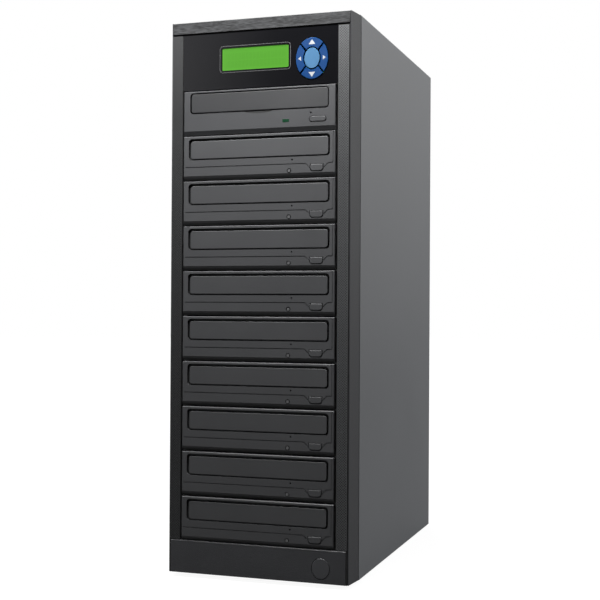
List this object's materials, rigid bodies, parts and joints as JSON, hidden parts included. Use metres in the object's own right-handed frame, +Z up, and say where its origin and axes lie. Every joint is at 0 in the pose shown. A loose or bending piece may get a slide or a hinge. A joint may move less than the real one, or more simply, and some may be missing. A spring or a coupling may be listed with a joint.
{
  "type": "disc duplicator tower",
  "caption": "Free-standing tower that copies optical discs: a reader above a stack of writers with sliding trays, a display and an oval keypad at the top, in a steel case.",
  "frame": {"origin": "on the floor under the middle of the overall box", "axes": "+X across the front to the viewer's right, -Y out of the front face, +Z up"},
  "size_m": [0.1774, 0.3466, 0.5275],
  "materials": {
    "frame_plastic": "satin black moulded plastic",
    "mesh_plastic": "black moulded diamond mesh",
    "strip_plastic": "grey plastic with a brushed grain",
    "bar_plastic": "finely textured black plastic",
    "panel_gloss": "polished black",
    "display_glass": "green character display under clear glass",
    "key_blue": "blue",
    "key_light": "light blue",
    "power_plastic": "satin black",
    "drive_plastic": "finely textured black plastic",
    "reader_plastic": "finely textured dark grey plastic",
    "lens_clear": "smoked green light pipe",
    "cover_paint": "satin grey powder coat",
    "sheet_steel": "zinc plated sheet",
    "shell_steel": "bare sheet",
    "screw_steel": "nickel plated",
    "foot_rubber": "matte black",
    "deck_plastic": "black",
    "optics_metal": "die cast",
    "board_green": "green solder mask",
    "cable_red": "red sleeve",
    "cable_black": "black sleeve",
    "psu_steel": "grey painted sheet",
    "inlet_plastic": "black",
    "rocker_plastic": "black",
    "fan_plastic": "black",
    "guard_wire": "nickel plated wire"
  },
  "bodies": {
    "tower": {"front_frame": "frame_plastic", "mesh_strips": "mesh_plastic", "top_strip": "strip_plastic", "bottom_bar": "bar_plastic", "power_switch": "inlet_plastic", "control_panel": "panel_gloss", "display_module": "display_glass", "key_board": "board_green", "writer_bezels": "drive_plastic", "reader_bezel": "reader_plastic", "status_lenses": "lens_clear", "drive_shells": "shell_steel", "drive_decks": "deck_plastic", "optical_units": "optics_metal", "cage_sides": "sheet_steel", "drive_screws": "screw_steel", "chassis_base": "sheet_steel", "feet": "foot_rubber", "cover": "cover_paint", "back_screws": "screw_steel", "rear_panel": "sheet_steel", "psu_case": "psu_steel", "mains_inlet": "inlet_plastic", "switch_frame": "inlet_plastic", "fan_housings": "fan_plastic", "fan_guards": "guard_wire", "controller_shelf": "sheet_steel", "controller_board": "board_green", "data_cables": "cable_red", "power_harness": "cable_black"},
    "reader_tray": {"reader_tray": "reader_plastic"},
    "reader_eject_button": {"reader_eject_button": "reader_plastic"},
    "writer_tray_1": {"writer_tray_1": "drive_plastic"},
    "writer_tray_2": {"writer_tray_2": "drive_plastic"},
    "writer_tray_3": {"writer_tray_3": "drive_plastic"},
    "writer_tray_4": {"writer_tray_4": "drive_plastic"},
    "writer_tray_5": {"writer_tray_5": "drive_plastic"},
    "writer_tray_6": {"writer_tray_6": "drive_plastic"},
    "writer_tray_7": {"writer_tray_7": "drive_plastic"},
    "writer_tray_8": {"writer_tray_8": "drive_plastic"},
    "writer_tray_9": {"writer_tray_9": "drive_plastic"},
    "writer_eject_button_1": {"writer_eject_button_1": "drive_plastic"},
    "writer_eject_button_2": {"writer_eject_button_2": "drive_plastic"},
    "writer_eject_button_3": {"writer_eject_button_3": "drive_plastic"},
    "writer_eject_button_4": {"writer_eject_button_4": "drive_plastic"},
    "writer_eject_button_5": {"writer_eject_button_5": "drive_plastic"},
    "writer_eject_button_6": {"writer_eject_button_6": "drive_plastic"},
    "writer_eject_button_7": {"writer_eject_button_7": "drive_plastic"},
    "writer_eject_button_8": {"writer_eject_button_8": "drive_plastic"},
    "writer_eject_button_9": {"writer_eject_button_9": "drive_plastic"},
    "key_up": {"key_up": "key_blue"},
    "key_down": {"key_down": "key_blue"},
    "key_left": {"key_left": "key_blue"},
    "key_right": {"key_right": "key_blue"},
    "key_centre": {"key_centre": "key_light"},
    "power_button": {"power_button": "power_plastic"},
    "switch_rocker": {"switch_rocker": "rocker_plastic"},
    "fan_rotor_lower": {"fan_rotor_lower": "fan_plastic"},
    "fan_rotor_upper": {"fan_rotor_upper": "fan_plastic"},
    "psu_fan_rotor": {"psu_fan_rotor": "fan_plastic"}
  },
  "joints": [
    {"name": "reader_tray_slide", "type": "slide", "parent": "tower", "child": "reader_tray", "axis": [0, -1, 0], "range_m": [0, 0.134]},
    {"name": "writer_tray_slide_1", "type": "slide", "parent": "tower", "child": "writer_tray_1", "axis": [0, -1, 0], "range_m": [0, 0.134]},
    {"name": "writer_tray_slide_2", "type": "slide", "parent": "tower", "child": "writer_tray_2", "axis": [0, -1, 0], "range_m": [0, 0.134]},
    {"name": "writer_tray_slide_3", "type": "slide", "parent": "tower", "child": "writer_tray_3", "axis": [0, -1, 0], "range_m": [0, 0.134]},
    {"name": "writer_tray_slide_4", "type": "slide", "parent": "tower", "child": "writer_tray_4", "axis": [0, -1, 0], "range_m": [0, 0.134]},
    {"name": "writer_tray_slide_5", "type": "slide", "parent": "tower", "child": "writer_tray_5", "axis": [0, -1, 0], "range_m": [0, 0.134]},
    {"name": "writer_tray_slide_6", "type": "slide", "parent": "tower", "child": "writer_tray_6", "axis": [0, -1, 0], "range_m": [0, 0.134]},
    {"name": "writer_tray_slide_7", "type": "slide", "parent": "tower", "child": "writer_tray_7", "axis": [0, -1, 0], "range_m": [0, 0.134]},
    {"name": "writer_tray_slide_8", "type": "slide", "parent": "tower", "child": "writer_tray_8", "axis": [0, -1, 0], "range_m": [0, 0.134]},
    {"name": "writer_tray_slide_9", "type": "slide", "parent": "tower", "child": "writer_tray_9", "axis": [0, -1, 0], "range_m": [0, 0.134]},
    {"name": "reader_eject_press", "type": "slide", "parent": "tower", "child": "reader_eject_button", "axis": [0, 1, 0], "range_m": [0, 0.001], "stiffness_N_per_m": 800},
    {"name": "writer_eject_press_1", "type": "slide", "parent": "tower", "child": "writer_eject_button_1", "axis": [0, 1, 0], "range_m": [0, 0.001], "stiffness_N_per_m": 800},
    {"name": "writer_eject_press_2", "type": "slide", "parent": "tower", "child": "writer_eject_button_2", "axis": [0, 1, 0], "range_m": [0, 0.001], "stiffness_N_per_m": 800},
    {"name": "writer_eject_press_3", "type": "slide", "parent": "tower", "child": "writer_eject_button_3", "axis": [0, 1, 0], "range_m": [0, 0.001], "stiffness_N_per_m": 800},
    {"name": "writer_eject_press_4", "type": "slide", "parent": "tower", "child": "writer_eject_button_4", "axis": [0, 1, 0], "range_m": [0, 0.001], "stiffness_N_per_m": 800},
    {"name": "writer_eject_press_5", "type": "slide", "parent": "tower", "child": "writer_eject_button_5", "axis": [0, 1, 0], "range_m": [0, 0.001], "stiffness_N_per_m": 800},
    {"name": "writer_eject_press_6", "type": "slide", "parent": "tower", "child": "writer_eject_button_6", "axis": [0, 1, 0], "range_m": [0, 0.001], "stiffness_N_per_m": 800},
    {"name": "writer_eject_press_7", "type": "slide", "parent": "tower", "child": "writer_eject_button_7", "axis": [0, 1, 0], "range_m": [0, 0.001], "stiffness_N_per_m": 800},
    {"name": "writer_eject_press_8", "type": "slide", "parent": "tower", "child": "writer_eject_button_8", "axis": [0, 1, 0], "range_m": [0, 0.001], "stiffness_N_per_m": 800},
    {"name": "writer_eject_press_9", "type": "slide", "parent": "tower", "child": "writer_eject_button_9", "axis": [0, 1, 0], "range_m": [0, 0.001], "stiffness_N_per_m": 800},
    {"name": "key_up_press", "type": "slide", "parent": "tower", "child": "key_up", "axis": [0, 1, 0], "range_m": [0, 0.0007], "stiffness_N_per_m": 800},
    {"name": "key_down_press", "type": "slide", "parent": "tower", "child": "key_down", "axis": [0, 1, 0], "range_m": [0, 0.0007], "stiffness_N_per_m": 800},
    {"name": "key_left_press", "type": "slide", "parent": "tower", "child": "key_left", "axis": [0, 1, 0], "range_m": [0, 0.0007], "stiffness_N_per_m": 800},
    {"name": "key_right_press", "type": "slide", "parent": "tower", "child": "key_right", "axis": [0, 1, 0], "range_m": [0, 0.0007], "stiffness_N_per_m": 800},
    {"name": "key_centre_press", "type": "slide", "parent": "tower", "child": "key_centre", "axis": [0, 1, 0], "range_m": [0, 0.0007], "stiffness_N_per_m": 800},
    {"name": "power_button_press", "type": "slide", "parent": "tower", "child": "power_button", "axis": [0, 1, 0], "range_m": [0, 0.002], "stiffness_N_per_m": 500},
    {"name": "mains_switch_rock", "type": "hinge", "parent": "tower", "child": "switch_rocker", "pos_m": [0.042, 0.1656, 0.0302], "axis": [-1, 0, 0], "range_deg": [0, 14]},
    {"name": "fan_spin_lower", "type": "hinge", "parent": "tower", "child": "fan_rotor_lower", "pos_m": [0, 0.1543, 0.19928], "axis": [0, 1, 0], "continuous": true},
    {"name": "fan_spin_upper", "type": "hinge", "parent": "tower", "child": "fan_rotor_upper", "pos_m": [0, 0.1543, 0.41742], "axis": [0, 1, 0], "continuous": true},
    {"name": "psu_fan_spin", "type": "hinge", "parent": "tower", "child": "psu_fan_rotor", "pos_m": [-0.029, 0.1533, 0.0472], "axis": [0, 1, 0], "continuous": true}
  ]
}
